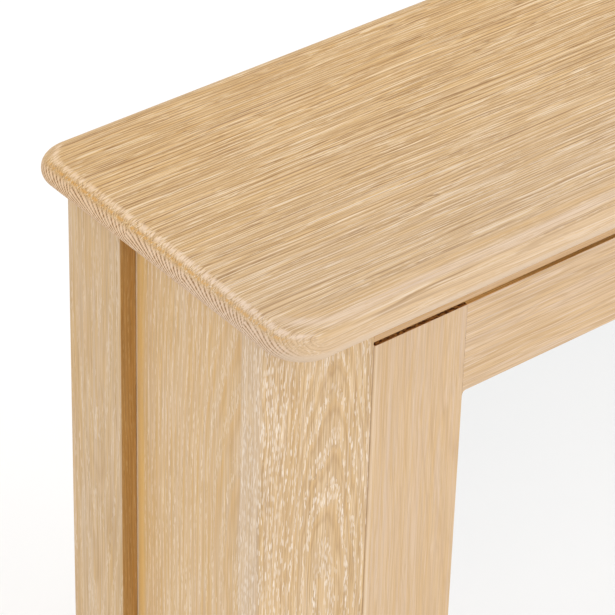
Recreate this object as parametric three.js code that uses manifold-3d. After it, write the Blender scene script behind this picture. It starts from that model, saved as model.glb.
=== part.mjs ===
// Sliding door wardrobe in solid oak: a rounded top board on a post-and-panel carcass,
// with two mirrored frame doors that slide past each other on bottom rollers.
// Millimetres, +Z up. X runs along the front, the front faces -Y, the floor is z = 0.

import * as THREE from 'three';
import { mergeVertices } from 'three/addons/utils/BufferGeometryUtils.js';
import ManifoldModule from 'manifold-3d';

const manifold = await ManifoldModule();
manifold.setup();

// ---------------------------------------------------------------- driving dimensions

const gap = 0.3;                      // left between pieces that touch
const past = 5;                       // how far a cutter runs past the face it opens

const height = 2050;
const carcass = { width: 1764, depth: 400 };
const top = { thickness: 36, cornerRadius: 56, side: 18, front: 80, back: 70 };
const nose = { reach: 28, rise: 17 };  // the elliptical edge of the top, inwards and up or down

const glide = { radius: 16, height: 8 };
const post = { width: 173, thickness: 40, edgeRadius: 7 };
const backStile = { width: 112, thickness: 43 };
const panel = { recess: 25, thickness: 18, tongue: 10 };
const backBoard = { thickness: 8, setIn: 12, tongue: 10 };
const backRail = { thickness: 32, height: 90 };
const muntinWidth = 70;
const sideRail = { bottom: 70, height: 110 };
const sill = { bottom: 80, top: 150 };
const fasciaHeight = 74;
const innerRailBack = 80;             // how far behind the front face the inner rails reach

const door = { thickness: 30, slot: 6, sideGap: 1.5, planeGap: 8 };
const frame = { stile: 150, topRail: 135, bottomRail: 160, arris: 3, openingRadius: 7 };
const rebate = { lip: 10, width: 12 };
const tenon = { length: 32, thickness: 8, inset: 18 };
const mirror = { thickness: 4 };
const backing = { thickness: 6 };

const channel = { width: 12, height: 12, wall: 1.7 };
const track = { width: 12, height: 6, wall: 1.7, base: 1.5 };
const roller = { radius: 14, width: 6, bore: 2.8 };
const carriage = { length: 62, width: 12.4, slot: 7.4, height: 34, axle: 2.5, fromEdge: 75 };
const guide = { length: 40, width: 12, height: 20, pinRadius: 3.9, pinHeight: 14, fromEdge: 75 };
const pull = { length: 150, width: 40, depth: 14, wall: 2, height: 1000, lip: 3, lipDepth: 1.5 };

const divider = { thickness: 22, housing: 6 };
const shelf = { thickness: 22, levels: [640, 1130] };
const hatShelf = { level: 1640 };
const rail = { radius: 12.5, drop: 60, fromEnds: 20, bracketWidth: 34, bracketThickness: 10 };

// ---------------------------------------------------------------- places worked out from them

const totalDepth = carcass.depth + top.front + top.back;
const front = -totalDepth / 2 + top.front;       // the posts' front face
const back = front + carcass.depth;
const halfWidth = carcass.width / 2;
const underTop = height - top.thickness;
const postInner = halfWidth - post.width;
const panelOuter = halfWidth - panel.recess;
const panelInner = panelOuter - panel.thickness;
const postBack = front + post.thickness;
const innerBack = front + innerRailBack;
const stileFront = back - backStile.width;
const doorTop = underTop - fasciaHeight - door.slot;
const doorBottom = sill.top + door.slot;
const doorHeight = doorTop - doorBottom;
const opening = 2 * postInner - 2 * door.sideGap;
const doorWidth = (opening + frame.stile) / 2;
const rearDoorFront = front + door.thickness + door.planeGap;
const panelBoardFront = back - backBoard.setIn - backBoard.thickness;
const panelGroove = [panelBoardFront - gap, back - backBoard.setIn + gap];
const backRailFront = back - backRail.thickness;

// ---------------------------------------------------------------- materials

const finish = (color, roughness, metalness = 0) =>
  new THREE.MeshStandardMaterial({ color, roughness, metalness });

const oak = finish(0xdcb88e, 0.6);
const ply = finish(0xc9a679, 0.7);
const mirrorGlass = finish(0xf2f4f4, 0.05, 1);
const aluminium = finish(0xb9bcbe, 0.35, 1);
const steel = finish(0xa8a9aa, 0.4, 1);
const nylon = finish(0xe9e7e0, 0.5);
const rubber = finish(0x4a4642, 0.8);

// ---------------------------------------------------------------- shape helpers

function toSolid(geometry) {
  const bare = geometry.index ? geometry.toNonIndexed() : geometry.clone();
  bare.deleteAttribute('normal');
  bare.deleteAttribute('uv');
  const welded = mergeVertices(bare, 1e-4);
  const mesh = new manifold.Mesh({
    numProp: 3,
    vertProperties: new Float32Array(welded.attributes.position.array),
    triVerts: new Uint32Array(welded.index.array),
  });
  mesh.merge();
  return new manifold.Manifold(mesh);
}

function toGeometry(solid) {
  const mesh = solid.getMesh();
  const geometry = new THREE.BufferGeometry();
  const places = new Float32Array(mesh.vertProperties);
  geometry.setAttribute('position', new THREE.BufferAttribute(places, 3));
  geometry.setIndex(new THREE.BufferAttribute(new Uint32Array(mesh.triVerts), 1));
  geometry.computeVertexNormals();
  return geometry;
}

const cut = (body, ...tools) =>
  toGeometry(tools.reduce((left, tool) => left.subtract(toSolid(tool)), toSolid(body)));

const join = (body, ...others) =>
  toGeometry(others.reduce((whole, other) => whole.add(toSolid(other)), toSolid(body)));

// A box between two corners, given as x, y and z ranges.
function block([x0, x1], [y0, y1], [z0, z1]) {
  const geometry = new THREE.BoxGeometry(x1 - x0, y1 - y0, z1 - z0);
  return geometry.translate((x0 + x1) / 2, (y0 + y1) / 2, (z0 + z1) / 2);
}

function rod(radius, from, to, segments = 28) {
  const start = new THREE.Vector3(...from);
  const along = new THREE.Vector3(...to).sub(start);
  const geometry = new THREE.CylinderGeometry(radius, radius, along.length(), segments);
  geometry.translate(0, along.length() / 2, 0);
  const turn = new THREE.Quaternion().setFromUnitVectors(new THREE.Vector3(0, 1, 0), along.normalize());
  return geometry.applyQuaternion(turn).translate(start.x, start.y, start.z);
}

// A plan outline, drawn in X and Y, raised from one height to another.
function raise(outline, z0, z1, curveSegments = 6) {
  const geometry = new THREE.ExtrudeGeometry(outline, { depth: z1 - z0, bevelEnabled: false, curveSegments });
  return geometry.translate(0, 0, z0);
}

// An outline drawn in X and Z, given depth from one Y to another.
function deepen(outline, y0, y1, curveSegments = 6) {
  const geometry = new THREE.ExtrudeGeometry(outline, { depth: y1 - y0, bevelEnabled: false, curveSegments });
  return geometry.rotateX(Math.PI / 2).translate(0, y1, 0);
}

function roundedRectangle(x0, x1, y0, y1, radius) {
  const outline = new THREE.Shape();
  outline.moveTo(x0 + radius, y0);
  outline.lineTo(x1 - radius, y0);
  outline.absarc(x1 - radius, y0 + radius, radius, -Math.PI / 2, 0);
  outline.lineTo(x1, y1 - radius);
  outline.absarc(x1 - radius, y1 - radius, radius, 0, Math.PI / 2);
  outline.lineTo(x0 + radius, y1);
  outline.absarc(x0 + radius, y1 - radius, radius, Math.PI / 2, Math.PI);
  outline.lineTo(x0, y0 + radius);
  outline.absarc(x0 + radius, y0 + radius, radius, Math.PI, Math.PI * 1.5);
  return outline;
}

// The same geometry on the other side of the wardrobe, still facing out.
function mirrored(geometry) {
  const copy = geometry.index ? geometry.toNonIndexed() : geometry.clone();
  copy.deleteAttribute('uv');
  const place = copy.attributes.position;
  for (let i = 0; i < place.count; i += 3) {
    const corners = [0, 2, 1].map((k) => [place.getX(i + k), place.getY(i + k), place.getZ(i + k)]);
    corners.forEach(([x, y, z], k) => place.setXYZ(i + k, -x, y, z));
  }
  copy.computeVertexNormals();
  return copy;
}

const object = new THREE.Group();

function add(name, geometry, material, parent = object) {
  const mesh = new THREE.Mesh(geometry, material);
  mesh.name = name;
  parent.add(mesh);
  return mesh;
}

// A left piece and its mirror image on the right.
function addPair(name, geometry, material) {
  add(`${name}_left`, geometry, material);
  add(`${name}_right`, mirrored(geometry), material);
}

// ---------------------------------------------------------------- carcass

function topBoard() {
  const halfFlatWidth = halfWidth + top.side - nose.reach;
  const halfFlatDepth = totalDepth / 2 - nose.reach;
  const outline = roundedRectangle(
    -halfFlatWidth, halfFlatWidth, -halfFlatDepth, halfFlatDepth, top.cornerRadius - nose.reach);
  const geometry = new THREE.ExtrudeGeometry(outline, {
    depth: top.thickness - 2 * nose.rise,
    bevelThickness: nose.rise,
    bevelSize: nose.reach,
    bevelSegments: 6,
    curveSegments: 9,
  });
  return geometry.translate(0, 0, underTop + nose.rise);
}

function frontPost() {
  const outer = -halfWidth;
  const inner = -postInner;
  const r = post.edgeRadius;
  const outline = new THREE.Shape();
  outline.moveTo(outer + r, front);
  outline.lineTo(inner, front);
  outline.lineTo(inner, postBack);
  outline.lineTo(-panelInner + gap, postBack);
  outline.lineTo(-panelInner + gap, postBack - panel.tongue - gap);
  outline.lineTo(-panelOuter - gap, postBack - panel.tongue - gap);
  outline.lineTo(-panelOuter - gap, postBack);
  outline.lineTo(outer, postBack);
  outline.lineTo(outer, front + r);
  outline.absarc(outer + r, front + r, r, Math.PI, Math.PI * 1.5);
  return raise(outline, glide.height, underTop - gap);
}

function backStileShape() {
  const outer = -halfWidth;
  const inner = -halfWidth + backStile.thickness;
  const boardNotch = -panelInner - backBoard.tongue - gap;
  const outline = new THREE.Shape();
  outline.moveTo(outer, stileFront);
  outline.lineTo(-panelOuter - gap, stileFront);
  outline.lineTo(-panelOuter - gap, stileFront + panel.tongue + gap);
  outline.lineTo(inner, stileFront + panel.tongue + gap);
  outline.lineTo(inner, panelGroove[0]);
  outline.lineTo(boardNotch, panelGroove[0]);
  outline.lineTo(boardNotch, panelGroove[1]);
  outline.lineTo(inner, panelGroove[1]);
  outline.lineTo(inner, back);
  outline.lineTo(outer, back);
  return raise(outline, glide.height, underTop - gap);
}

// The groove that a shelf's end is housed in.
const housing = (xRange, level, backEdge) =>
  block(xRange, [innerBack + gap, backEdge], [level - gap, level + shelf.thickness + gap]);

function sidePanel(levels) {
  const body = block(
    [-panelOuter, -panelInner],
    [postBack - panel.tongue, stileFront + panel.tongue],
    [sideRail.bottom + sideRail.height + gap, underTop - gap]);
  const reach = [-panelInner - divider.housing - gap, -panelInner + past];
  const slots = levels.map((level) => housing(reach, level, stileFront));
  return cut(body, ...slots);
}

const sideBottomRail = () => block(
  [-halfWidth, -panelInner],
  [postBack + gap, stileFront - gap],
  [sideRail.bottom, sideRail.bottom + sideRail.height]);

const doorLine = (rearDoor) => (rearDoor ? rearDoorFront : front) + door.thickness / 2;

function headRail(y0, y1, reach, rearDoor) {
  const body = block([-reach, reach], [y0, y1], [underTop - fasciaHeight, underTop - gap]);
  const middle = doorLine(rearDoor);
  const half = channel.width / 2 + gap;
  const low = underTop - fasciaHeight;
  const groove = block(
    [-reach - past, reach + past], [middle - half, middle + half], [low - past, low + channel.height + gap]);
  return cut(body, groove);
}

function sillRail(y0, y1, reach, rearDoor) {
  const body = block([-reach, reach], [y0, y1], [sill.bottom, sill.top]);
  const middle = doorLine(rearDoor);
  const half = track.width / 2 + gap;
  const low = sill.top - track.height - gap;
  const groove = block([-reach - past, reach + past], [middle - half, middle + half], [low, sill.top + past]);
  return cut(body, groove);
}

// A back rail with a groove along one edge for the back panels and the muntin's stub tenons.
function backRailShape(z0, z1, grooveAtTop) {
  const reach = panelInner - gap;
  const body = block([-reach, reach], [backRailFront, back], [z0, z1]);
  const z = grooveAtTop ? [z1 - backBoard.tongue - gap, z1 + past] : [z0 - past, z0 + backBoard.tongue + gap];
  return cut(body, block([-reach - past, reach + past], panelGroove, z));
}

function backMuntin(z0, z1) {
  const half = muntinWidth / 2;
  const body = block([-half, half], [backRailFront, back], [z0 + gap, z1 - gap]);
  const groove = (x0, x1) => block([x0, x1], panelGroove, [z0 - past, z1 + past]);
  const depth = backBoard.tongue + gap;
  return cut(body, groove(-half - past, -half + depth), groove(half - depth, half + past));
}

const backPanel = (z0, z1) => block(
  [-panelInner - backBoard.tongue, -muntinWidth / 2 + backBoard.tongue],
  [panelBoardFront, back - backBoard.setIn],
  [z0 - backBoard.tongue, z1 + backBoard.tongue]);

const uProfile = (width, deep, wall, base) => {
  const outline = new THREE.Shape();
  outline.moveTo(-width / 2, 0);
  outline.lineTo(width / 2, 0);
  outline.lineTo(width / 2, deep);
  outline.lineTo(width / 2 - wall, deep);
  outline.lineTo(width / 2 - wall, base);
  outline.lineTo(-width / 2 + wall, base);
  outline.lineTo(-width / 2 + wall, deep);
  outline.lineTo(-width / 2, deep);
  return outline;
};

// A U section, drawn in Y and Z, laid along X; turned over when it opens downwards.
function uSection(profile, reach, y, z, opensDown) {
  const geometry = new THREE.ExtrudeGeometry(profile, { depth: 2 * reach, bevelEnabled: false });
  geometry.translate(0, 0, -reach).rotateX(Math.PI / 2).rotateZ(Math.PI / 2);
  if (opensDown) geometry.rotateX(Math.PI);
  return geometry.translate(0, y, z);
}

function addCarcass() {
  const backTopLow = underTop - backRail.height;
  const backBottomHigh = sill.bottom + backRail.height;
  add('top_board', topBoard(), oak);
  addPair('front_post', frontPost(), oak);
  addPair('back_stile', backStileShape(), oak);
  add('side_panel_left', sidePanel([hatShelf.level]), oak);
  add('side_panel_right', mirrored(sidePanel(shelf.levels)), oak);
  addPair('side_bottom_rail', sideBottomRail(), oak);
  add('front_top_rail', headRail(front, postBack, postInner - gap, false), oak);
  add('inner_top_rail', headRail(postBack + gap, innerBack, panelInner - gap, true), oak);
  add('front_bottom_rail', sillRail(front, postBack, postInner - gap, false), oak);
  add('inner_bottom_rail', sillRail(postBack + gap, innerBack, panelInner - gap, true), oak);
  add('back_top_rail', backRailShape(backTopLow, underTop - gap, false), oak);
  add('back_bottom_rail', backRailShape(sill.bottom, backBottomHigh, true), oak);
  add('back_muntin', backMuntin(backBottomHigh, backTopLow), oak);
  addPair('back_panel', backPanel(backBottomHigh, backTopLow), ply);
}

function addTracks() {
  const runs = [['front', false, postInner - gap], ['rear', true, panelInner - gap]];
  for (const [side, rearDoor, reach] of runs) {
    const y = doorLine(rearDoor);
    const guideProfile = uProfile(channel.width, channel.height, channel.wall, channel.wall);
    const trackProfile = uProfile(track.width, track.height, track.wall, track.base);
    const channelTop = underTop - fasciaHeight + channel.height;
    add(`top_guide_channel_${side}`, uSection(guideProfile, reach, y, channelTop, true), aluminium);
    add(`bottom_track_${side}`, uSection(trackProfile, reach, y, sill.top - track.height, false), aluminium);
  }
}

function addGlides() {
  const inset = 30;
  const rows = { front: front + post.thickness / 2, back: back - inset };
  for (const [row, y] of Object.entries(rows)) {
    for (const [side, sign] of [['left', -1], ['right', 1]]) {
      const x = sign * (halfWidth - inset);
      add(`glide_${row}_${side}`, rod(glide.radius, [x, y, 0], [x, y, glide.height - gap], 24), rubber);
    }
  }
}

// ---------------------------------------------------------------- inside

const insideDepth = [innerBack + 2 * gap, backRailFront - gap];

// A shelf in the right bay, housed in the divider and, clear of the back stile, in the side panel.
function shelfBoard(level) {
  const z = [level, level + shelf.thickness];
  const [frontEdge, backEdge] = [insideDepth[0] + gap, insideDepth[1] - gap];
  const inner = divider.thickness / 2 - divider.housing;
  const board = block([inner, panelInner - gap], [frontEdge, backEdge], z);
  const tongue = block([panelInner - 1, panelInner + divider.housing], [frontEdge, stileFront - gap], z);
  return join(board, tongue);
}

function addInside() {
  const half = divider.thickness / 2;
  const reach = panelInner - gap;
  add('floor_board', block([-reach, reach], insideDepth, [sill.top - shelf.thickness, sill.top - gap]), oak);
  const board = block([-half, half], insideDepth, [sill.top, underTop - gap]);
  const leftSlot = housing([-half - past, -half + divider.housing + gap], hatShelf.level, backRailFront);
  const rightSlots = shelf.levels.map(
    (level) => housing([half - divider.housing - gap, half + past], level, backRailFront));
  add('centre_divider', cut(board, leftSlot, ...rightSlots), oak);
  add('hat_shelf', mirrored(shelfBoard(hatShelf.level)), oak);
  add('lower_shelf', shelfBoard(shelf.levels[0]), oak);
  add('upper_shelf', shelfBoard(shelf.levels[1]), oak);
}

function railBracket(x, y) {
  const { radius, drop, bracketWidth, bracketThickness } = rail;
  const z = hatShelf.level - drop;
  const plate = new THREE.Shape();
  const half = bracketWidth / 2;
  plate.moveTo(x - half, hatShelf.level - gap);
  plate.lineTo(x - half, z);
  plate.absarc(x, z, half, Math.PI, Math.PI * 2);
  plate.lineTo(x + half, hatShelf.level - gap);
  const hole = new THREE.Path();
  hole.absarc(x, z, radius + gap, 0, Math.PI * 2);
  plate.holes.push(hole);
  return deepen(plate, y - bracketThickness / 2, y + bracketThickness / 2, 14);
}

function addHangingRail() {
  const x = -(panelInner + divider.thickness / 2) / 2;
  const ends = [insideDepth[0] + rail.fromEnds, insideDepth[1] - rail.fromEnds];
  const z = hatShelf.level - rail.drop;
  const overhang = rail.bracketThickness + 12;
  add('hanging_rail', rod(rail.radius, [x, ends[0], z], [x, ends[1], z]), steel);
  add('rail_bracket_front', railBracket(x, ends[0] + overhang), steel);
  add('rail_bracket_back', railBracket(x, ends[1] - overhang), steel);
}

// ---------------------------------------------------------------- doors
// A door is drawn with its lower left front corner at the origin, then set in its place.

const openingX = [frame.stile, doorWidth - frame.stile];
const openingZ = [frame.bottomRail, doorHeight - frame.topRail];

// A stile stands along Z; its inner back edge is rebated for the mirror and its backing.
function doorStile(hasPull) {
  const r = frame.arris;
  const outline = new THREE.Shape();
  outline.moveTo(r, 0);
  outline.lineTo(frame.stile, 0);
  outline.lineTo(frame.stile, rebate.lip);
  outline.lineTo(frame.stile - rebate.width, rebate.lip);
  outline.lineTo(frame.stile - rebate.width, door.thickness);
  outline.lineTo(0, door.thickness);
  outline.lineTo(0, r);
  outline.absarc(r, r, r, Math.PI, Math.PI * 1.5);
  const tools = [[0, frame.bottomRail], [doorHeight - frame.topRail, doorHeight]].map(mortise);
  if (hasPull) tools.push(pullRecess());
  return cut(raise(outline, 0, doorHeight), ...tools);
}

// The rails' stub tenons stand between the lip and the back of the door.
const tenonDepth = [rebate.lip + 1, rebate.lip + 1 + tenon.thickness];

function mortise([z0, z1]) {
  const xRange = [frame.stile - rebate.width - tenon.length - 2 * gap, frame.stile + past];
  const yRange = [tenonDepth[0] - gap, tenonDepth[1] + gap];
  return block(xRange, yRange, [z0 + tenon.inset - gap, z1 - tenon.inset + gap]);
}

// A rail's front face, with a small quarter round left in each corner of the opening.
function railFace(z0, z1, openingAbove) {
  const [x0, x1] = openingX;
  const r = frame.openingRadius;
  const edge = openingAbove ? z1 : z0;
  const far = openingAbove ? z0 : z1;
  const outward = openingAbove ? 1 : -1;
  const outline = new THREE.Shape();
  outline.moveTo(x0 + gap, far);
  outline.lineTo(x0 + gap, edge + outward * r);
  outline.quadraticCurveTo(x0 + gap, edge, x0 + r, edge);
  outline.lineTo(x1 - r, edge);
  outline.quadraticCurveTo(x1 - gap, edge, x1 - gap, edge + outward * r);
  outline.lineTo(x1 - gap, far);
  return outline;
}

function doorRail(z0, z1, openingAbove) {
  const [x0, x1] = openingX;
  const face = deepen(railFace(z0, z1, openingAbove), 0, rebate.lip);
  const bodyX = [x0 - rebate.width + gap, x1 + rebate.width - gap];
  const bodyZ = openingAbove ? [z0, z1 - rebate.width] : [z0 + rebate.width, z1];
  const body = block(bodyX, [rebate.lip + gap, door.thickness], bodyZ);
  const web = block([x0 + gap, x1 - gap], [rebate.lip - 1, rebate.lip + 1], bodyZ);
  const tenonX = [bodyX[0] - tenon.length, bodyX[1] + tenon.length];
  const tenons = block(tenonX, tenonDepth, [z0 + tenon.inset, z1 - tenon.inset]);
  return join(face, web, body, tenons);
}

const glazed = (margin) => [
  [openingX[0] - margin, openingX[1] + margin],
  [openingZ[0] - margin, openingZ[1] + margin]];

function mirrorPlate() {
  const [x, z] = glazed(rebate.width - 1);
  return block(x, [rebate.lip + gap, rebate.lip + gap + mirror.thickness], z);
}

function backingBoard() {
  const [x, z] = glazed(rebate.width - 1);
  const y = rebate.lip + 2 * gap + mirror.thickness;
  return block(x, [y, y + backing.thickness], z);
}

const pullOutline = (grow) => {
  const half = pull.width / 2 + grow;
  const x = frame.stile / 2;
  const z = pull.height - doorBottom;
  return roundedRectangle(
    x - half, x + half, z - pull.length / 2 - grow, z + pull.length / 2 + grow, half - 0.01);
};

// The recess in the stile: a shallow step for the lip over a deeper pocket for the cup.
function pullRecess() {
  const step = deepen(pullOutline(pull.lip + gap), -past, pull.lipDepth + gap, 8);
  const pocket = deepen(pullOutline(gap), -past, pull.depth + gap, 8);
  return join(step, pocket);
}

function pullCup() {
  const lip = deepen(pullOutline(pull.lip), 0, pull.lipDepth, 8);
  const cup = deepen(pullOutline(0), 0, pull.depth, 8);
  const hollow = deepen(pullOutline(-pull.wall), -past, pull.depth - pull.wall, 8);
  return cut(join(lip, cup), hollow);
}

// ---- running gear, drawn about the door's middle plane

const middle = door.thickness / 2;
const wheelRise = sill.top - track.height + track.base + gap + roller.radius - doorBottom;

function carriageBody(x) {
  const { length, width, slot, height: tall, axle } = carriage;
  const housingBox = block(
    [x - length / 2, x + length / 2], [middle - width / 2, middle + width / 2], [0, tall]);
  const wheelRoom = roller.radius + 2;
  const space = block(
    [x - wheelRoom, x + wheelRoom], [middle - slot / 2, middle + slot / 2], [-past, wheelRise + wheelRoom]);
  const pin = rod(axle, [x, middle - width / 2 + 1, wheelRise], [x, middle + width / 2 - 1, wheelRise], 20);
  return join(cut(housingBox, space), pin);
}

const carriageRecess = (x) => block(
  [x - carriage.length / 2 - gap, x + carriage.length / 2 + gap],
  [middle - carriage.width / 2 - gap, middle + carriage.width / 2 + gap],
  [-past, carriage.height + gap]);

function rollerWheel(x) {
  const { radius, width, bore } = roller;
  const soften = 0.8;
  const half = width / 2;
  const profile = [
    [bore, -half], [radius - soften, -half], [radius, -half + soften],
    [radius, half - soften], [radius - soften, half], [bore, half], [bore, -half],
  ].map(([r, along]) => new THREE.Vector2(r, along));
  return new THREE.LatheGeometry(profile, 36).translate(x, middle, wheelRise);
}

function guideBlock(x) {
  const { length, width, height: tall, pinRadius, pinHeight } = guide;
  const foot = block([x - length / 2, x + length / 2], [middle - width / 2, middle + width / 2],
    [doorHeight - tall, doorHeight]);
  return join(foot, rod(pinRadius, [x, middle, doorHeight - 2], [x, middle, doorHeight + pinHeight], 20));
}

const guideRecess = (x) => block(
  [x - guide.length / 2 - gap, x + guide.length / 2 + gap],
  [middle - guide.width / 2 - gap, middle + guide.width / 2 + gap],
  [doorHeight - guide.height - gap, doorHeight + past]);

// Running gear sits in the rails, a set distance in from each stile.
const gearPlaces = {
  left: frame.stile + carriage.fromEdge,
  right: doorWidth - frame.stile - carriage.fromEdge,
};

function flippedInDoor(geometry) {
  return mirrored(geometry).translate(doorWidth, 0, 0);
}

function addDoor(name, x, y, pullOnLeft) {
  const group = new THREE.Group();
  group.position.set(x, y, doorBottom);
  object.add(group);
  const put = (part, geometry, material) => add(`${name}_${part}`, geometry, material, group);
  const places = Object.entries(gearPlaces);
  put('stile_left', doorStile(pullOnLeft), oak);
  put('stile_right', flippedInDoor(doorStile(!pullOnLeft)), oak);
  const topRail = doorRail(openingZ[1], doorHeight, false);
  const bottomRail = doorRail(0, openingZ[0], true);
  put('top_rail', cut(topRail, ...places.map(([, at]) => guideRecess(at))), oak);
  put('bottom_rail', cut(bottomRail, ...places.map(([, at]) => carriageRecess(at))), oak);
  put('mirror', mirrorPlate(), mirrorGlass);
  put('backing_board', backingBoard(), ply);
  put('finger_pull', pullOnLeft ? pullCup() : flippedInDoor(pullCup()), steel);
  for (const [side, at] of places) {
    put(`carriage_${side}`, carriageBody(at), steel);
    put(`guide_${side}`, guideBlock(at), nylon);
    put(`roller_${side}`, rollerWheel(at), nylon);
  }
}

// ---------------------------------------------------------------- assembly

addCarcass();
addTracks();
addGlides();
addInside();
addHangingRail();
addDoor('front_door', -postInner + door.sideGap, front, true);
addDoor('rear_door', postInner - door.sideGap - doorWidth, rearDoorFront, false);

export default object;
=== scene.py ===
"""Looks for the sliding door wardrobe: solid limed oak, mirrored doors and satin metal running gear."""
import math

import bpy
from mathutils import Matrix, Vector


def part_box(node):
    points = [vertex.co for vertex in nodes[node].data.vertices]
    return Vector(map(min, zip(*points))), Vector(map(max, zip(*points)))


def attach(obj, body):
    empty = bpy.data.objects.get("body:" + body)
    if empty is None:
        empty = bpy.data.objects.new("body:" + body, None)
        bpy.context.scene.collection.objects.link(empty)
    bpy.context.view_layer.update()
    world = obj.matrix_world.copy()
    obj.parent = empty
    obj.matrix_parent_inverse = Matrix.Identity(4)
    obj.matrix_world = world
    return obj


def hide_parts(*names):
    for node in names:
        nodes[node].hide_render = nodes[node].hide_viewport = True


MM = 0.001
# how much brighter the studio makes a white surface than white
STUDIO_GAIN = 1.08

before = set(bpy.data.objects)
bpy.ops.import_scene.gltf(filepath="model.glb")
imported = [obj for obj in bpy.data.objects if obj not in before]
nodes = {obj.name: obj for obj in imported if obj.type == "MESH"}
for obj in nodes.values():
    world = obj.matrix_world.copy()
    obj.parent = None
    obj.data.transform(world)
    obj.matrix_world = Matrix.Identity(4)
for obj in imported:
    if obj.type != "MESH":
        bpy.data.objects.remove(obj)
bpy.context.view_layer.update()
scene = bpy.context.scene


# ------------------------------------------------------------------ shader graphs

class Graph:
    """Short ways to add and join nodes in one node tree."""

    def __init__(self, tree):
        self.tree = tree

    def put(self, socket, value):
        if isinstance(value, bpy.types.NodeSocket):
            self.tree.links.new(value, socket)
        elif value is not None:
            socket.default_value = value

    def node(self, kind, **settings):
        made = self.tree.nodes.new(kind)
        for key, value in settings.items():
            setattr(made, key, value)
        return made

    def math(self, operation, *values, clamp=False):
        made = self.node("ShaderNodeMath", operation=operation, use_clamp=clamp)
        for socket, value in zip(made.inputs, values):
            self.put(socket, value)
        return made.outputs[0]

    def add(self, a, b):
        return self.math("ADD", a, b)

    def times(self, a, b):
        return self.math("MULTIPLY", a, b)

    def split(self, vector):
        made = self.node("ShaderNodeSeparateXYZ")
        self.put(made.inputs[0], vector)
        return made.outputs

    def vector(self, x, y, z):
        made = self.node("ShaderNodeCombineXYZ")
        for socket, value in zip(made.inputs, (x, y, z)):
            self.put(socket, value)
        return made.outputs[0]

    def stretch(self, vector, scale):
        made = self.node("ShaderNodeVectorMath", operation="MULTIPLY")
        self.put(made.inputs[0], vector)
        made.inputs[1].default_value = scale
        return made.outputs[0]

    def shift(self, vector, offset):
        made = self.node("ShaderNodeVectorMath", operation="ADD")
        self.put(made.inputs[0], vector)
        self.put(made.inputs[1], offset)
        return made.outputs[0]

    def noise(self, vector, detail=2.0, roughness=0.5, distortion=0.0):
        made = self.node("ShaderNodeTexNoise")
        self.put(made.inputs["Vector"], vector)
        made.inputs["Scale"].default_value = 1.0
        made.inputs["Detail"].default_value = detail
        made.inputs["Roughness"].default_value = roughness
        made.inputs["Distortion"].default_value = distortion
        return made.outputs["Fac"]

    def cells(self, vector):
        made = self.node("ShaderNodeTexVoronoi")
        self.put(made.inputs["Vector"], vector)
        made.inputs["Scale"].default_value = 1.0
        return made.outputs["Distance"], self.split(made.outputs["Color"])[0]

    def ramp(self, value, low, high, start=0.0, end=1.0):
        made = self.node("ShaderNodeMapRange", interpolation_type="SMOOTHSTEP")
        for name, number in (("Value", value), ("From Min", low), ("From Max", high),
                             ("To Min", start), ("To Max", end)):
            self.put(made.inputs[name], number)
        return made.outputs["Result"]

    def hump(self, value, low, peak, high):
        return self.times(self.ramp(value, low, peak), self.ramp(value, peak, high, 1.0, 0.0))

    def mix(self, amount, a, b):
        made = self.node("ShaderNodeMix", data_type="RGBA")
        self.put(made.inputs[0], amount)
        self.put(made.inputs[6], a)
        self.put(made.inputs[7], b)
        return made.outputs[2]

    def bump(self, height, strength, distance):
        made = self.node("ShaderNodeBump")
        made.inputs["Strength"].default_value = strength
        made.inputs["Distance"].default_value = distance
        self.put(made.inputs["Height"], height)
        return made.outputs[0]


def srgb(red, green, blue):
    """A display colour, 0 to 255, as the linear colour that a socket takes."""
    def linear(value):
        value /= 255
        return value / 12.92 if value <= 0.04045 else ((value + 0.055) / 1.055) ** 2.4
    return (linear(red) / STUDIO_GAIN, linear(green) / STUDIO_GAIN, linear(blue) / STUDIO_GAIN, 1.0)


def new_material(name):
    material = bpy.data.materials.new(name)
    material.use_nodes = True
    graph = Graph(material.node_tree)
    surface = material.node_tree.nodes["Principled BSDF"]
    return material, graph, surface


# ------------------------------------------------------------------ limed oak

OAK = {
    "pale": srgb(236, 205, 160),
    "deep": srgb(180, 143, 95),
    "line": srgb(134, 92, 42),
    "lime": srgb(252, 236, 214),
    "grey": srgb(217, 193, 166),
    "gold": srgb(214, 172, 112),
    "amber": srgb(220, 176, 106),
    "rose": srgb(226, 195, 163),
    "pink": srgb(240, 216, 194),
    "orange": srgb(212, 162, 90),
    "umber": srgb(100, 54, 18),
    "shade": srgb(184, 122, 58),
    "calm": srgb(216, 187, 152),
    "honey": srgb(236, 192, 116),
    "mist": srgb(240, 218, 196),
}

# lengths in metres, and a seed; then amounts, of which Open is pores in the wood far to the side of the pith
OAK_INPUTS = {
    "Stave": 0.0, "Ring": 0.005, "Depth": 0.06, "Offset": 0.0, "Bow": 0.0, "Crest": 0.0, "Seed": 0.0,
    "Open": 0.0, "Lime": 0.3, "Line": 0.3, "Grey": 0.2, "Gold": 0.2, "Fibre": 0.5, "Thread": 0.1, "Hue": 0.35,
    "Late": 0.15, "Waver": 1.0, "End": 0.0,
}
# the length over which a bent pith rises and falls once
BOW_LENGTH = 1.1


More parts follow.
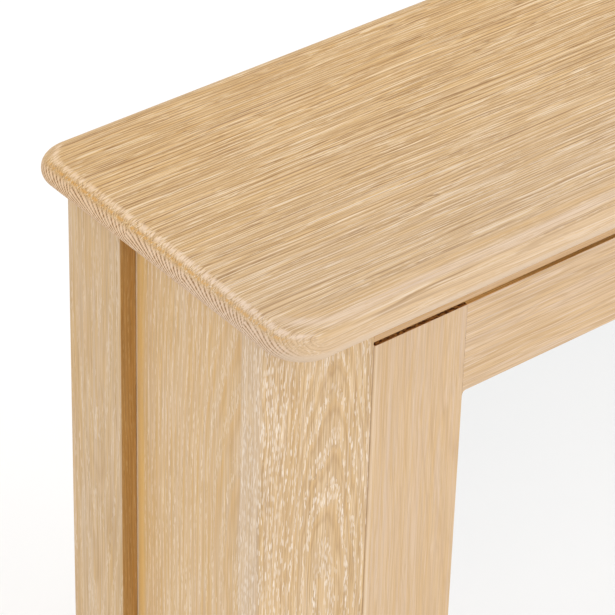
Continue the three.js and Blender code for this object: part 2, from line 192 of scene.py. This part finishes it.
def oak_group():
    """Solid oak cut from a log: rings about a bending pith, pores filled with lime, and rays on end grain."""
    tree = bpy.data.node_groups.new("limed_oak", "ShaderNodeTree")
    face = tree.interface
    face.new_socket("Board", in_out="INPUT", socket_type="NodeSocketVector")
    for name, value in OAK_INPUTS.items():
        face.new_socket(name, in_out="INPUT", socket_type="NodeSocketFloat").default_value = value
    face.new_socket("Color", in_out="OUTPUT", socket_type="NodeSocketColor")
    face.new_socket("Height", in_out="OUTPUT", socket_type="NodeSocketFloat")
    face.new_socket("Roughness", in_out="OUTPUT", socket_type="NodeSocketFloat")
    g = Graph(tree)
    given = g.node("NodeGroupInput").outputs
    result = g.node("NodeGroupOutput").inputs
    u, v, w = g.split(given["Board"])
    seed = given["Seed"]

    # each glued stave is its own piece of the tree, and a board with no stave width is one piece
    stave = g.math("FLOOR", g.add(g.math("DIVIDE", v, given["Stave"]), 0.5))
    chance = g.node("ShaderNodeTexWhiteNoise", noise_dimensions="2D")
    g.put(chance.inputs["Vector"], g.vector(stave, seed, 0.0))
    first, second, third = g.split(chance.outputs["Color"])
    across = g.math("SUBTRACT", v, g.times(stave, given["Stave"]))
    moved = g.vector(g.add(u, g.times(first, 7.0)), g.add(v, g.times(stave, 0.37)), g.add(w, seed))

    # rings about the pith; their middle wanders, and the bend in it makes the flame
    wander = g.times(g.math("SUBTRACT", g.noise(g.stretch(moved, (1.3, 0.0, 0.0)), 1.0), 0.5), 0.03)
    pith_v = g.add(g.add(given["Offset"], wander),
                   g.times(g.math("SUBTRACT", second, 0.5), g.times(given["Stave"], 0.25)))
    swing = g.math("SINE", g.times(g.math("SUBTRACT", u, given["Crest"]), 2 * math.pi / BOW_LENGTH))
    chance_depth = g.times(g.math("SUBTRACT", third, 0.5), g.times(given["Stave"], 0.6))
    depth = g.add(g.add(given["Depth"], chance_depth), g.times(given["Bow"], swing))
    side = g.math("SUBTRACT", across, pith_v)
    below = g.add(w, depth)
    radius = g.math("SQRT", g.add(g.times(side, side), g.times(below, below)))
    slow = g.times(g.math("SUBTRACT", g.noise(g.stretch(moved, (1.6, 11.0, 11.0)), 2.0), 0.5), 0.012)
    quick = g.times(g.math("SUBTRACT", g.noise(g.stretch(moved, (14.0, 120.0, 120.0)), 2.0), 0.5), 0.0024)
    waver = g.times(g.add(slow, quick), given["Waver"])
    ring = g.add(g.math("DIVIDE", g.add(radius, waver), given["Ring"]), g.times(first, 9.0))
    phase = g.math("FRACT", ring)
    early = g.times(g.ramp(phase, 0.0, 0.08), g.ramp(phase, 0.26, 0.50, 1.0, 0.0))
    first_line = g.hump(g.math("FRACT", g.add(ring, 0.4)), 0.0, 0.14, 0.34)
    second_line = g.hump(g.math("FRACT", g.add(g.times(ring, 1.6), 0.1)), 0.0, 0.16, 0.34)
    vein = g.math("MAXIMUM", first_line, g.times(second_line, 0.6))
    late = g.times(g.ramp(phase, 0.50, 0.92), g.ramp(phase, 0.95, 1.0, 1.0, 0.0))

    # fibres, streaks and broad bands, all drawn out along the grain
    sway = g.times(g.math("SUBTRACT", g.noise(g.stretch(moved, (7.0, 40.0, 40.0)), 1.0), 0.5), 0.008)
    moved = g.shift(moved, g.vector(0.0, sway, sway))
    fibre = g.noise(g.stretch(moved, (6.0, 640.0, 640.0)), 1.0, 0.5)
    streak = g.noise(g.stretch(moved, (3.0, 120.0, 120.0)), 3.0, 0.6)
    band = g.noise(g.stretch(moved, (0.9, 16.0, 16.0)), 3.0, 0.5)
    long_line = g.noise(g.stretch(moved, (4.0, 760.0, 760.0)), 0.0)
    hue = g.noise(g.stretch(moved, (5.0, 330.0, 330.0)), 1.0)
    run = g.noise(g.stretch(moved, (7.0, 160.0, 160.0)), 2.0)
    reach = g.noise(g.stretch(moved, (4.0, 340.0, 340.0)), 1.0)

    # pores: slim cells, most of them in the early part of a ring, filled with lime
    distance, pick = g.cells(g.stretch(moved, (66.0, 740.0, 740.0)))
    far = g.times(g.ramp(g.math("ABSOLUTE", side), 0.04, 0.10), given["Open"])
    open_share = g.add(g.math("MAXIMUM", g.times(early, 1.05), far), 0.02)
    pore = g.times(g.ramp(distance, 0.28, 0.50, 1.0, 0.0), g.math("LESS_THAN", pick, open_share))
    thread = g.times(g.ramp(long_line, 0.42, 0.33), g.ramp(run, 0.58, 0.46))

    tone = g.math("SUBTRACT", g.ramp(fibre, 0.30, 0.70), 0.5)
    colour = g.mix(g.add(g.times(tone, given["Fibre"]), 0.5), OAK["deep"], OAK["pale"])
    colour = g.mix(g.times(late, given["Late"]), colour, OAK["gold"])
    colour = g.mix(g.times(g.ramp(hue, 0.50, 0.66), given["Hue"]), colour, OAK["amber"])
    colour = g.mix(g.times(g.ramp(hue, 0.50, 0.36), given["Hue"]), colour, OAK["rose"])
    colour = g.mix(g.times(g.ramp(band, 0.42, 0.68), given["Gold"]), colour, OAK["gold"])
    colour = g.mix(g.times(g.ramp(streak, 0.45, 0.66), given["Grey"]), colour, OAK["grey"])
    dark = g.math("MAXIMUM", g.times(vein, g.ramp(reach, 0.20, 0.50)), g.ramp(long_line, 0.66, 0.76))
    colour = g.mix(g.times(dark, given["Line"]), colour, OAK["line"])
    white = g.times(g.times(pore, g.ramp(run, 0.62, 0.42, 0.45, 1.0)), given["Lime"])
    white = g.math("MAXIMUM", white, g.times(thread, given["Thread"]))
    colour = g.mix(white, colour, OAK["lime"])

    # end grain: bolder rings, crossed by rays
    turn = g.math("ARCTAN2", side, below)
    arc = g.times(turn, g.add(given["Depth"], 0.05))
    ray = g.ramp(g.noise(g.vector(g.times(arc, 620.0), g.times(radius, 70.0), 0.0), 1.0), 0.46, 0.58)
    bold = g.math("FRACT", g.times(ring, 0.53))
    solid = g.times(g.ramp(bold, 0.04, 0.26), g.ramp(bold, 0.64, 0.90, 1.0, 0.0))
    hollow = g.math("SUBTRACT", 1.0, solid)
    end = g.mix(hollow, OAK["rose"], OAK["line"])
    end = g.mix(g.times(ray, 0.45), end, OAK["pink"])
    g.put(result["Color"], g.mix(g.ramp(given["End"], 0.50, 0.75), colour, end))
    height = g.math("SUBTRACT", g.times(fibre, 0.35), g.add(g.times(pore, 0.8), g.times(dark, 0.5)))
    g.put(result["Height"], height)
    g.put(result["Roughness"], g.ramp(fibre, 0.2, 0.8, 0.46, 0.60))
    return tree


AXES = {"X": 0, "Y": 1, "Z": 2}
OAK_TREE = oak_group()
# where a surface counts as beginning to face along an axis, and as facing along it fully
BEGINS_TO_FACE, FACES_FULLY = 0.5, 0.9


def board_space(g, grain, across, outward, face, middle):
    """Object coordinates turned so that u runs with the grain, v across the board and w out of its face."""
    place = g.split(g.node("ShaderNodeTexCoord").outputs["Object"])
    u = place[AXES[grain]]
    v = g.math("SUBTRACT", place[AXES[across]], middle)
    sign = -1.0 if outward.startswith("-") else 1.0
    w = g.times(g.math("SUBTRACT", place[AXES[outward[-1]]], face), sign)
    return g.vector(u, v, w)


def normal_part(g, axis):
    """How far the true surface faces along an axis, from -1 to 1."""
    return g.split(g.node("ShaderNodeNewGeometry").outputs["Normal"])[AXES[axis]]


def oak(name, box, grain="Z", across="X", outward="-Y", tints=(), bump=0.35, **settings):
    """One board's own oak. Tints are functions of (graph, colour) that return a changed colour."""
    low, high = box
    material, g, surface = new_material(name)
    face_axis = AXES[outward[-1]]
    face = low[face_axis] if outward.startswith("-") else high[face_axis]
    middle = (low[AXES[across]] + high[AXES[across]]) / 2
    oak_node = g.node("ShaderNodeGroup", node_tree=OAK_TREE)
    g.put(oak_node.inputs["Board"], board_space(g, grain, across, outward, face, middle))
    for key, value in settings.items():
        oak_node.inputs[key.capitalize()].default_value = value
    g.put(oak_node.inputs["End"], g.math("ABSOLUTE", normal_part(g, grain)))
    colour = oak_node.outputs["Color"]
    for tint in tints:
        colour = tint(g, colour)
    g.put(surface.inputs["Base Color"], colour)
    g.put(surface.inputs["Roughness"], oak_node.outputs["Roughness"])
    g.put(surface.inputs["Normal"], g.bump(oak_node.outputs["Height"], bump, 0.4 * MM))
    surface.inputs["Specular IOR Level"].default_value = 0.35
    return material


def multiply(g, amount, base, colour):
    made = g.node("ShaderNodeMix", data_type="RGBA", blend_type="MULTIPLY")
    g.put(made.inputs[0], amount)
    g.put(made.inputs[6], base)
    g.put(made.inputs[7], colour)
    return made.outputs[2]


def tint_facing(axis, sign, colour, amount):
    """Tints what faces one way along an axis."""
    def apply(g, base):
        facing = g.ramp(g.times(normal_part(g, axis), sign), BEGINS_TO_FACE, FACES_FULLY)
        return g.mix(g.times(facing, amount), base, colour)
    return apply


def cast(red, green, blue):
    """Gives the whole board a colour cast."""
    def apply(g, base):
        return multiply(g, 1.0, base, (red, green, blue, 1.0))
    return apply


def shade_facing(axis, sign, colour):
    """Painted shade: darkens what faces one way along an axis, and keeps its grain."""
    def apply(g, base):
        facing = g.ramp(g.times(normal_part(g, axis), sign), BEGINS_TO_FACE, FACES_FULLY)
        return multiply(g, facing, base, colour)
    return apply


def tint_near(axis, place, reach, colour, amount):
    """Tints a soft band about a place along an axis."""
    def apply(g, base):
        where = g.node("ShaderNodeTexCoord").outputs["Object"]
        value = g.split(where)[AXES[axis]]
        away = g.math("ABSOLUTE", g.math("SUBTRACT", value, place))
        uneven = g.ramp(g.noise(g.stretch(where, (60.0, 60.0, 5.0)), 2.0), 0.30, 0.60, 0.5, 1.0)
        near = g.times(g.ramp(away, 0.0, reach, 1.0, 0.0), uneven)
        return g.mix(g.times(near, amount), base, colour)
    return apply


def stile_ends_in_slot_shade(g, base):
    """Unsealed end grain on top of a door's stiles: dark brown dashes on a warmer brown, partly its own
    darker colour and partly painted shade of the slot under the top.
    """
    place = g.node("ShaderNodeTexCoord").outputs["Object"]
    dash = g.ramp(g.noise(g.stretch(place, (150.0, 260.0, 0.0)), 1.0), 0.42, 0.58)
    facing = g.ramp(normal_part(g, "Z"), BEGINS_TO_FACE, FACES_FULLY)
    return g.mix(facing, base, g.mix(dash, OAK["umber"], OAK["shade"]))


def rail_top_in_slot_shade(g, base):
    """Unsealed long grain on top of a door's rail: golden brown with darker lines, partly its own colour and
    partly painted shade of the slot under the top.
    """
    place = g.node("ShaderNodeTexCoord").outputs["Object"]
    line = g.ramp(g.noise(g.stretch(place, (2.0, 420.0, 0.0)), 1.0), 0.46, 0.58)
    slot_shaded_grain = g.mix(line, (1.6, 1.33, 0.74, 1.0), (0.95, 0.72, 0.36, 1.0))
    facing = g.ramp(normal_part(g, "Z"), BEGINS_TO_FACE, FACES_FULLY)
    return multiply(g, facing, base, slot_shaded_grain)


# ------------------------------------------------------------------ other materials

def metal(name, colour, roughness, brushed_axis):
    """Satin metal with fine lines drawn along an axis."""
    material, g, surface = new_material(name)
    scale = [900.0, 900.0, 900.0]
    scale[AXES[brushed_axis]] = 12.0
    place = g.node("ShaderNodeTexCoord").outputs["Object"]
    lines = g.noise(g.stretch(place, scale), 3.0, 0.6)
    smudge = g.noise(g.stretch(place, (18.0, 18.0, 18.0)), 2.0)
    darker = tuple(part * 0.82 for part in colour[:3]) + (1.0,)
    g.put(surface.inputs["Base Color"], g.mix(g.ramp(lines, 0.3, 0.7), darker, colour))
    g.put(surface.inputs["Roughness"], g.add(g.times(smudge, 0.12), roughness - 0.06))
    g.put(surface.inputs["Normal"], g.bump(lines, 0.12, 0.1 * MM))
    surface.inputs["Metallic"].default_value = 1.0
    return material


def moulded(name, colour, roughness):
    """Plastic or rubber with a fine moulded texture."""
    material, g, surface = new_material(name)
    place = g.node("ShaderNodeTexCoord").outputs["Object"]
    grain = g.noise(g.stretch(place, (1400.0, 1400.0, 1400.0)), 2.0)
    tone = g.noise(g.stretch(place, (60.0, 60.0, 60.0)), 2.0)
    darker = tuple(part * 0.8 for part in colour[:3]) + (1.0,)
    g.put(surface.inputs["Base Color"], g.mix(g.ramp(tone, 0.3, 0.7), darker, colour))
    g.put(surface.inputs["Roughness"], g.add(g.times(grain, 0.15), roughness - 0.07))
    g.put(surface.inputs["Normal"], g.bump(grain, 0.2, 0.15 * MM))
    return material


def mirror_glass():
    material, g, surface = new_material("mirror_glass")
    place = g.node("ShaderNodeTexCoord").outputs["Object"]
    haze = g.noise(g.stretch(place, (5.0, 5.0, 3.0)), 3.0)
    silver = g.mix(haze, (0.835, 0.835, 0.835, 1.0), (0.845, 0.845, 0.845, 1.0))
    height = g.split(place)[2]
    # painted shade in the reflection: the mirror's silvering is darker towards its top
    g.put(surface.inputs["Base Color"], g.mix(g.ramp(height, 1.25, 1.95), silver, (0.735, 0.74, 0.74, 1.0)))
    g.put(surface.inputs["Roughness"], g.ramp(haze, 0.3, 0.8, 0.01, 0.035))
    surface.inputs["Metallic"].default_value = 1.0
    return material


# ------------------------------------------------------------------ boards

def box_of(name):
    low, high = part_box(name)
    return low, high


def soften(name, width):
    """Rounds a CAD board's arrises, and keeps its flat faces flat."""
    board = nodes[name]
    for polygon in board.data.polygons:
        polygon.use_smooth = True
    weld = board.modifiers.new("weld", "WELD")
    weld.merge_threshold = 0.02 * MM
    bevel = board.modifiers.new("arris", "BEVEL")
    bevel.width = width
    bevel.segments = 3
    bevel.limit_method = "ANGLE"
    bevel.angle_limit = math.radians(40)
    bevel.use_clamp_overlap = True
    normals = board.modifiers.new("normals", "WEIGHTED_NORMAL")
    normals.keep_sharp = False


def dress(name, material):
    nodes[name].data.materials.clear()
    nodes[name].data.materials.append(material)


# a board's lie: the axis of its grain, the axis across it, and the way its best face looks
LYING_FRONT = ("X", "Z", "-Y")
LYING_BACK = ("X", "Z", "Y")
FLAT = ("X", "Y", "Z")
UPRIGHT_FRONT = ("Z", "X", "-Y")
UPRIGHT_BACK = ("Z", "X", "Y")
UPRIGHT_LEFT = ("Z", "Y", "-X")
UPRIGHT_RIGHT = ("Z", "Y", "X")
DEEP_LEFT = ("Y", "Z", "-X")
DEEP_RIGHT = ("Y", "Z", "X")

STRAIGHT = dict(ring=0.0046, depth=0.16, offset=0.09, lime=0.25, line=0.35, grey=0.35, gold=0.15, fibre=0.7)
FLOWERED = dict(ring=0.0032, depth=0.17, offset=0.026, bow=0.0096, lime=0.9, line=0.24, grey=0.15, gold=0.25,
                fibre=0.8, thread=0.25, hue=0.2, late=0.45, open=0.5)
QUIET = dict(ring=0.0044, depth=0.13, bow=0.006, lime=0.35, line=0.12, grey=0.4, gold=0.3,
             fibre=0.55, thread=0.25)
SMOOTH = dict(ring=0.0044, depth=0.20, offset=0.07, bow=0.004, lime=0.05, line=0.12, grey=0.4, gold=0.1,
              fibre=0.25, hue=0.2)
SMOOTH_RAIL = {**SMOOTH, "fibre": 0.55, "line": 0.15, "grey": 0.25, "thread": 0.25}
# the height at which the pith's bend passes its middle, in metres
CREST = 1.86
PANEL = {**QUIET, "offset": -0.097, "ring": 0.0066, "bow": 0.012, "crest": CREST, "lime": 0.55, "late": 0.6,
         "thread": 0.25, "grey": 0.35, "fibre": 0.4}

stile_front = box_of("back_stile_left")[0].y
post_tints = [
    cast(0.90, 0.915, 0.965),
    # painted light: a post's sides, and the sides of its rounded arris, tinted paler as if lit as brightly as
    # its front
    tint_facing("X", -1.0, OAK["mist"], 0.22),
    tint_facing("X", 1.0, OAK["mist"], 0.22),
]
# back stiles: a slight colour cast, and painted shade on the narrow face that looks forward into the recess
recess_tints = [cast(0.895, 0.89, 0.89), shade_facing("Y", -1.0, (0.78, 0.60, 0.31, 1.0))]
door_cast = cast(0.925, 0.935, 1.02)
# a door rail's top face: its unsealed grain, darkened further as painted shade of the slot under the top
rail_tints = [door_cast, rail_top_in_slot_shade]
panel_tints = [
    # painted reflection: a honey band on the panel beside the back stile, as if lit by the golden recess
    tint_near("Y", stile_front - 9 * MM, 16 * MM, OAK["honey"], 0.85),
    # a thin pale line at the stile's front: a glue line, with a painted edge highlight
    tint_near("Y", stile_front, 3 * MM, OAK["lime"], 0.6),
]

# every oak board: its lie, its cut, and the settings that are its own
BOARDS = {
    "front_post_left": (UPRIGHT_FRONT, FLOWERED, dict(crest=CREST, tints=post_tints)),
    "front_post_right": (UPRIGHT_FRONT, FLOWERED, dict(offset=-0.02, crest=CREST - 0.2, tints=post_tints)),
    "back_stile_left": (UPRIGHT_LEFT, QUIET, dict(lime=0.45, tints=recess_tints)),
    "back_stile_right": (UPRIGHT_RIGHT, QUIET, dict(lime=0.45, tints=recess_tints)),
    "side_panel_left": (UPRIGHT_LEFT, PANEL, dict(tints=panel_tints)),
    "side_panel_right": (UPRIGHT_RIGHT, PANEL, dict(tints=panel_tints)),
    "side_bottom_rail_left": (DEEP_LEFT, STRAIGHT, {}),
    "side_bottom_rail_right": (DEEP_RIGHT, STRAIGHT, {}),
    # the front top rail's cast is painted shade under the top's overhang
    "front_top_rail": (LYING_FRONT, SMOOTH, dict(tints=[cast(0.86, 0.78, 0.70)])),
    "inner_top_rail": (LYING_FRONT, STRAIGHT, {}),
    "front_bottom_rail": (LYING_FRONT, STRAIGHT, {}),
    "inner_bottom_rail": (LYING_FRONT, STRAIGHT, {}),
    "back_top_rail": (LYING_BACK, STRAIGHT, {}),
    "back_bottom_rail": (LYING_BACK, STRAIGHT, {}),
    "back_muntin": (UPRIGHT_BACK, QUIET, {}),
    "back_panel_left": (UPRIGHT_BACK, QUIET, dict(stave=0.21)),
    "back_panel_right": (UPRIGHT_BACK, QUIET, dict(stave=0.21)),
    "floor_board": (FLAT, STRAIGHT, dict(stave=0.1)),
    "centre_divider": (UPRIGHT_LEFT, QUIET, dict(stave=0.11)),
    "hat_shelf": (FLAT, STRAIGHT, dict(stave=0.1)),
    "lower_shelf": (FLAT, STRAIGHT, dict(stave=0.1)),
    "upper_shelf": (FLAT, STRAIGHT, dict(stave=0.1)),
}
for door in ("front_door", "rear_door"):
    left_edge = box_of(f"{door}_stile_left")[0].x
    right_edge = box_of(f"{door}_stile_right")[1].x
    # a pale soft band along each stile's outer arris: lime in its grain, and a painted highlight on the
    # rounded edge
    lime_and_highlight_left = tint_near("X", left_edge + 4 * MM, 5 * MM, OAK["lime"], 0.28)
    lime_and_highlight_right = tint_near("X", right_edge - 4 * MM, 5 * MM, OAK["lime"], 0.28)
    # the stile tops are darkened: end grain, and painted shade of the slot under the top
    BOARDS[f"{door}_stile_left"] = (UPRIGHT_FRONT, SMOOTH, dict(tints=[door_cast, lime_and_highlight_left, stile_ends_in_slot_shade]))
    BOARDS[f"{door}_stile_right"] = (UPRIGHT_FRONT, SMOOTH, dict(tints=[door_cast, lime_and_highlight_right, stile_ends_in_slot_shade]))
    BOARDS[f"{door}_top_rail"] = (LYING_FRONT, SMOOTH_RAIL, dict(tints=rail_tints))
    BOARDS[f"{door}_bottom_rail"] = (LYING_FRONT, SMOOTH_RAIL, dict(tints=[door_cast]))
    BOARDS[f"{door}_backing_board"] = (UPRIGHT_BACK, QUIET, dict(stave=0.17))

# how wide the arrises are on the boards that are handled or seen most, and on every other board
ARRIS = {"front_post": 2.0 * MM, "back_stile": 1.5 * MM, "front_door": 1.2 * MM, "rear_door": 1.2 * MM}
PLAIN_ARRIS = 1.0 * MM
SEED_STEP = 3.17


def arris_of(name):
    for start, width in ARRIS.items():
        if name.startswith(start):
            return width
    return PLAIN_ARRIS


for number, (name, (lie, cut, own)) in enumerate(BOARDS.items()):
    grain, across, outward = lie
    settings = {**cut, "seed": SEED_STEP * number, **own}
    dress(name, oak(f"oak_{name}", box_of(name), grain, across, outward, **settings))
    soften(name, arris_of(name))


# ------------------------------------------------------------------ pieces in mesh code

def piece(name, points, faces, material, body):
    """A new smooth-shaded piece that rides on a body."""
    mesh = bpy.data.meshes.new(name)
    mesh.from_pydata(points, [], faces)
    mesh.validate()
    for polygon in mesh.polygons:
        polygon.use_smooth = True
    mesh.materials.append(material)
    made = bpy.data.objects.new(name, mesh)
    scene.collection.objects.link(made)
    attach(made, body)
    return made


def plan_ring(low, high, radius, inset, z, steps):
    """Points round a rounded rectangle, pulled in by inset, at one height."""
    points = []
    corners = [(high.x, high.y, 0), (low.x, high.y, 90), (low.x, low.y, 180), (high.x, low.y, 270)]
    for x, y, start in corners:
        centre_x = x - math.copysign(radius, x)
        centre_y = y - math.copysign(radius, y)
        for step in range(steps + 1):
            angle = math.radians(start + 90 * step / steps)
            reach = radius - inset
            points.append((centre_x + reach * math.cos(angle), centre_y + reach * math.sin(angle), z))
    return points


def stitch(rings):
    """Faces between equal rings of points, with a cap at each end."""
    count = len(rings[0])
    faces = []
    for level in range(len(rings) - 1):
        for i in range(count):
            j = (i + 1) % count
            a, b = level * count, (level + 1) * count
            faces.append((a + i, a + j, b + j, b + i))
    faces.append(tuple(reversed(range(count))))
    faces.append(tuple(range((len(rings) - 1) * count, len(rings) * count)))
    return faces


# the figure near the top's front edge: its corner radius, and how far in its golden and its pink line lie
FIGURE = {"corner": 95 * MM, "golden": (34 * MM, 46 * MM, 58 * MM), "pink": (14 * MM, 30 * MM, 42 * MM)}
# the top's rounded edge: its depth, half its height, the plan's corner radius, and its steps
NOSE = {"reach": 28 * MM, "rise": 17 * MM, "corner": 56 * MM, "steps": 16, "corner_steps": 24}
TOP_CUT = dict(stave=0.118, ring=0.0020, depth=0.25, offset=0.112, seed=41.0, lime=0.35, line=0.80, grey=0.0,
               gold=0.12, fibre=0.55, thread=0.55, hue=0.25, waver=0.35)


def warm_top(g, base):
    """The top is yellower towards the back, and calmer and cooler towards the front."""
    y = g.split(g.node("ShaderNodeTexCoord").outputs["Object"])[1]
    base = multiply(g, g.ramp(y, -0.26, 0.26, 0.0, 1.0), base, (0.975, 0.91, 0.765, 1.0))
    front = g.ramp(y, 0.02, -0.20)
    base = multiply(g, front, base, (0.95, 0.95, 0.97, 1.0))
    return g.mix(g.times(front, 0.18), base, OAK["calm"])


def front_figure(g, base):
    """Growth layers met at a slant near the front edge: a golden line, and a pale pink one outside it."""
    low, high = box_of("top_board")
    place = g.node("ShaderNodeTexCoord").outputs["Object"]
    x, y = g.split(place)[:2]
    past_x = g.math("SUBTRACT", g.math("ABSOLUTE", x), high.x - FIGURE["corner"])
    past_y = g.math("SUBTRACT", g.math("ABSOLUTE", y), high.y - FIGURE["corner"])
    out_x = g.math("MAXIMUM", past_x, 0.0)
    out_y = g.math("MAXIMUM", past_y, 0.0)
    outside = g.math("SQRT", g.add(g.times(out_x, out_x), g.times(out_y, out_y)))
    inside = g.math("MINIMUM", g.math("MAXIMUM", past_x, past_y), 0.0)
    inward = g.math("SUBTRACT", FIGURE["corner"], g.add(outside, inside))
    drift = g.times(g.math("SUBTRACT", g.noise(g.stretch(place, (6.0, 30.0, 30.0)), 2.0), 0.5), 14 * MM)
    inward = g.add(inward, drift)
    front = g.ramp(y, low.y + 85 * MM, low.y + 50 * MM)
    streaks = g.noise(g.stretch(place, (5.0, 420.0, 420.0)), 1.0)
    streaky = g.times(g.ramp(streaks, 0.38, 0.60, 0.3, 1.0), front)
    base = g.mix(g.times(front, 0.10), base, OAK["calm"])
    golden = g.times(g.hump(inward, *FIGURE["golden"]), streaky)
    base = g.mix(g.times(golden, 0.65), base, OAK["gold"])
    pink = g.times(g.hump(inward, *FIGURE["pink"]), streaky)
    return g.mix(g.times(pink, 0.6), base, OAK["pink"])


def end_bands(g, base):
    """Where the top rolls over at its ends, cut pores show as pale flecks in a painted highlight crescent
    along the upper bend, and then as orange dashes; the lower front roundover gets a greyish painted
    reflection of the floor.
    """
    facing_end = g.math("ABSOLUTE", normal_part(g, "X"))
    facing_front = g.math("ABSOLUTE", normal_part(g, "Y"))
    up = normal_part(g, "Z")
    tilt = g.math("SQRT", g.math("SUBTRACT", 1.0, g.times(up, up)))
    place = g.node("ShaderNodeTexCoord").outputs["Object"]
    dash = g.noise(g.stretch(place, (22.0, 400.0, 90.0)), 1.0)
    gap = g.noise(g.stretch(place, (60.0, 340.0, 60.0)), 0.0)
    turn = g.math("DIVIDE", facing_front, g.add(tilt, 0.001))
    calm = g.times(g.hump(turn, 0.35, 0.75, 2.0), g.ramp(tilt, 0.25, 0.5))
    base = g.mix(g.times(calm, 0.45), base, OAK["calm"])
    flecks = g.ramp(dash, 0.42, 0.56, 0.15, 1.0)
    # painted highlight: a pale crescent along the upper bend, broken into pore flecks
    pale = g.times(g.times(g.hump(tilt, 0.02, 0.22, 0.44), g.ramp(facing_end, 0.01, 0.12)), flecks)
    base = g.mix(g.times(pale, 0.8), base, OAK["pink"])
    rust = g.times(g.hump(tilt, 0.36, 0.46, 0.58), g.ramp(facing_front, 0.10, 0.35, 1.0, 0.0))
    rust = g.times(rust, g.times(g.ramp(facing_end, 0.2, 0.35), g.ramp(gap, 0.47, 0.55)))
    base = g.mix(g.times(rust, 0.85), base, OAK["orange"])
    # painted reflection of the floor: the lower front roundover turns greyish
    rim = g.times(g.ramp(up, 0.25, -0.05), g.ramp(facing_front, 0.2, 0.6))
    return g.mix(g.times(rim, 0.75), base, OAK["grey"])


def top_board():
    """The top with its fully rounded edge, which the CAD part has in coarser steps."""
    low, high = box_of("top_board")
    rings = []
    middle = (low.z + high.z) / 2
    flat = (high.z - low.z) / 2 - NOSE["rise"]
    for half in (-1, 1):
        for step in range(NOSE["steps"] + 1):
            angle = math.pi / 2 * (step / NOSE["steps"] - (1 if half < 0 else 0))
            inset = NOSE["reach"] * (1 - math.cos(angle))
            z = middle + half * flat + NOSE["rise"] * math.sin(angle)
            rings.append(plan_ring(low, high, NOSE["corner"], inset, z, NOSE["corner_steps"]))
    points = [point for ring in rings for point in ring]
    tints = [front_figure, end_bands, warm_top]
    material = oak("oak_top", (low, high), *FLAT, tints=tints, **TOP_CUT)
    made = piece("top_board_oak", points, stitch(rings), material, "carcass")
    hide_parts("top_board")


top_board()

# ------------------------------------------------------------------ metal, nylon and rubber

aluminium = metal("aluminium_track", (0.66, 0.67, 0.68, 1.0), 0.34, "X")
nickel = metal("satin_nickel", (0.50, 0.49, 0.47, 1.0), 0.28, "Z")
nylon = moulded("white_nylon", (0.80, 0.79, 0.75, 1.0), 0.45)
rubber = moulded("glide_rubber", (0.07, 0.065, 0.06, 1.0), 0.8)
glass = mirror_glass()

for name in nodes:
    if "channel" in name or "track" in name:
        dress(name, aluminium)
    elif "carriage" in name or "rail_bracket" in name or name == "hanging_rail" or "finger_pull" in name:
        dress(name, nickel)
    elif "roller" in name or "_guide_" in name:
        dress(name, nylon)
    elif name.startswith("glide"):
        dress(name, rubber)
    elif name.endswith("_mirror"):
        dress(name, glass)


# ------------------------------------------------------------------ floor, light and camera

FLOOR_REACH = 60.0
BACKDROP_STRENGTH = 1.14
KEY_LIGHT = {"place": (2.5, -6.0, 4.5), "aim": (0.0, 0.0, 1.2), "size": 4.0, "power": 110.0}


def floor():
    size = FLOOR_REACH
    corners = [(-size, -size, 0), (size, -size, 0), (size, size, 0), (-size, size, 0)]
    mesh = bpy.data.meshes.new("floor")
    mesh.from_pydata(corners, [], [(0, 1, 2, 3)])
    material, g, surface = new_material("pale_floor")
    place = g.node("ShaderNodeTexCoord").outputs["Object"]
    patches = g.noise(g.stretch(place, (3.0, 3.0, 3.0)), 3.0)
    g.put(surface.inputs["Base Color"], g.mix(patches, (0.90, 0.90, 0.90, 1.0), (0.92, 0.92, 0.92, 1.0)))
    surface.inputs["Roughness"].default_value = 0.7
    surface.inputs["Specular IOR Level"].default_value = 0.2
    mesh.materials.append(material)
    made = bpy.data.objects.new("floor", mesh)
    scene.collection.objects.link(made)


def soft_light(name, place, aim, size, power):
    lamp = bpy.data.lights.new(name, "AREA")
    lamp.shape = "SQUARE"
    lamp.size = size
    lamp.energy = power
    made = bpy.data.objects.new(name, lamp)
    made.location = place
    made.rotation_mode = "QUATERNION"
    made.rotation_quaternion = (Vector(aim) - Vector(place)).to_track_quat("-Z", "Y")
    scene.collection.objects.link(made)


def studio():
    world = bpy.data.worlds.new("studio")
    world.use_nodes = True
    backdrop = world.node_tree.nodes["Background"]
    backdrop.inputs["Color"].default_value = (1.0, 1.0, 1.0, 1.0)
    backdrop.inputs["Strength"].default_value = BACKDROP_STRENGTH
    scene.world = world
    soft_light("key", **KEY_LIGHT)
    scene.view_settings.view_transform = "Standard"


# the photo's angle: turned to the left of the front, looking down on the front left corner of the top
CAMERA = {
    "azimuth": 39.465,
    "elevation": 35.322,
    "roll": -1.727,
    "distance": 4.066,
    "lens": 201.3,
    "sensor": 36.0,
}
# from the front left post's outer front edge, level with the top's underside, to the middle of the frame
AIM_FROM_CORNER = (56 * MM, -13 * MM, 36 * MM)


def camera():
    corner = box_of("front_post_left")[0]
    aim = Vector((corner.x, corner.y, box_of("top_board")[0].z)) + Vector(AIM_FROM_CORNER)
    azimuth, elevation = math.radians(CAMERA["azimuth"]), math.radians(CAMERA["elevation"])
    level = math.cos(elevation)
    back = Vector((-math.sin(azimuth) * level, -math.cos(azimuth) * level, math.sin(elevation)))
    right = Vector((math.cos(azimuth), -math.sin(azimuth), 0.0))
    up = back.cross(right)
    roll = math.radians(CAMERA["roll"])
    rolled_right = right * math.cos(roll) - up * math.sin(roll)
    rolled_up = right * math.sin(roll) + up * math.cos(roll)
    lens = bpy.data.cameras.new("camera")
    lens.sensor_width = CAMERA["sensor"]
    lens.lens = CAMERA["lens"]
    lens.clip_end = 200.0
    made = bpy.data.objects.new("camera", lens)
    turn = Matrix((rolled_right, rolled_up, back)).transposed()
    made.matrix_world = Matrix.Translation(aim + back * CAMERA["distance"]) @ turn.to_4x4()
    scene.collection.objects.link(made)
    scene.camera = made


floor()
studio()
camera()
